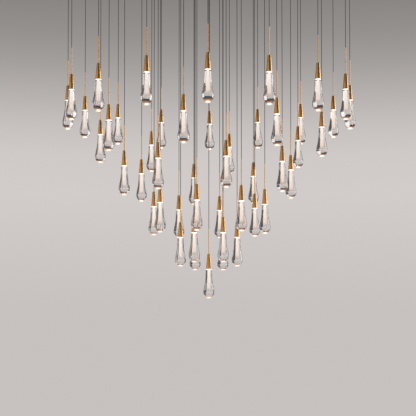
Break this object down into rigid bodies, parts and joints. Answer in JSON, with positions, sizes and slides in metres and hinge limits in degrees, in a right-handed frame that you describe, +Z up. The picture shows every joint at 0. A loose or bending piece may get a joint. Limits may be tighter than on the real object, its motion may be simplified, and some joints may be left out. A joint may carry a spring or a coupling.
{
  "type": "crystal chandelier",
  "caption": "Hanging light: solid glass teardrops in tapered brass caps on thin cords, in rings that step down to one low centre drop under a round canopy.",
  "frame": {"origin": "centre of the ceiling frame's top face, which lies flat against the ceiling", "axes": "+Z up into the ceiling, -Y towards the viewer at the front, +X to the viewer's right"},
  "size_m": [1.5238, 1.5238, 1.819],
  "materials": {
    "cord_sleeve": "fine dark woven sleeve",
    "brass": "fine brushed, warm aged",
    "light_lens": "frosted, lit",
    "cast_glass": "clear cast, polished",
    "zinc_steel": "bright zinc plate",
    "canopy_metal": "satin warm bronze",
    "black_rubber": "matt",
    "pale_plastic": "fine moulded"
  },
  "bodies": {
    "canopy": {"frame_hub": "zinc_steel", "frame_arms": "zinc_steel", "canopy_studs": "zinc_steel", "stud_spacers": "zinc_steel", "canopy_plate": "canopy_metal", "canopy_rim": "canopy_metal", "canopy_nuts": "brass", "cord_grips": "brass", "centre_grip": "brass", "light_drivers": "pale_plastic", "wiring_box": "zinc_steel", "wiring_box_lid": "zinc_steel", "terminal_block": "pale_plastic"},
    "centre_bush": {"centre_cord_bush": "black_rubber"},
    "outer_ring": {"outer_ring_cords": "cord_sleeve", "outer_ring_rods": "brass", "outer_ring_caps": "brass", "outer_ring_lights": "light_lens", "outer_ring_glass_drops": "cast_glass"},
    "second_ring": {"second_ring_cords": "cord_sleeve", "second_ring_rods": "brass", "second_ring_caps": "brass", "second_ring_lights": "light_lens", "second_ring_glass_drops": "cast_glass"},
    "third_ring": {"third_ring_cords": "cord_sleeve", "third_ring_rods": "brass", "third_ring_caps": "brass", "third_ring_lights": "light_lens", "third_ring_glass_drops": "cast_glass"},
    "fourth_ring": {"fourth_ring_cords": "cord_sleeve", "fourth_ring_rods": "brass", "fourth_ring_caps": "brass", "fourth_ring_lights": "light_lens", "fourth_ring_glass_drops": "cast_glass"},
    "inner_ring": {"inner_ring_cords": "cord_sleeve", "inner_ring_rods": "brass", "inner_ring_caps": "brass", "inner_ring_lights": "light_lens", "inner_ring_glass_drops": "cast_glass"},
    "centre_pendant": {"centre_cord": "cord_sleeve", "centre_rod": "brass", "centre_cap": "brass", "centre_light": "light_lens", "centre_glass_drop": "cast_glass"}
  },
  "joints": [
    {"name": "outer_ring_height", "type": "slide", "parent": "canopy", "child": "outer_ring", "axis": [0, 0, 1], "range_m": [-0.015, 0.035]},
    {"name": "second_ring_height", "type": "slide", "parent": "canopy", "child": "second_ring", "axis": [0, 0, 1], "range_m": [-0.015, 0.035]},
    {"name": "third_ring_height", "type": "slide", "parent": "canopy", "child": "third_ring", "axis": [0, 0, 1], "range_m": [-0.015, 0.035]},
    {"name": "fourth_ring_height", "type": "slide", "parent": "canopy", "child": "fourth_ring", "axis": [0, 0, 1], "range_m": [-0.015, 0.035]},
    {"name": "inner_ring_height", "type": "slide", "parent": "canopy", "child": "inner_ring", "axis": [0, 0, 1], "range_m": [-0.015, 0.035]},
    {"name": "centre_swing", "type": "hinge", "parent": "canopy", "child": "centre_bush", "pos_m": [0, 0, -0.075], "axis": [0, 1, 0], "range_deg": [-3, 3]},
    {"name": "centre_height", "type": "slide", "parent": "centre_bush", "child": "centre_pendant", "axis": [0, 0, 1], "range_m": [-0.015, 0.035]}
  ]
}
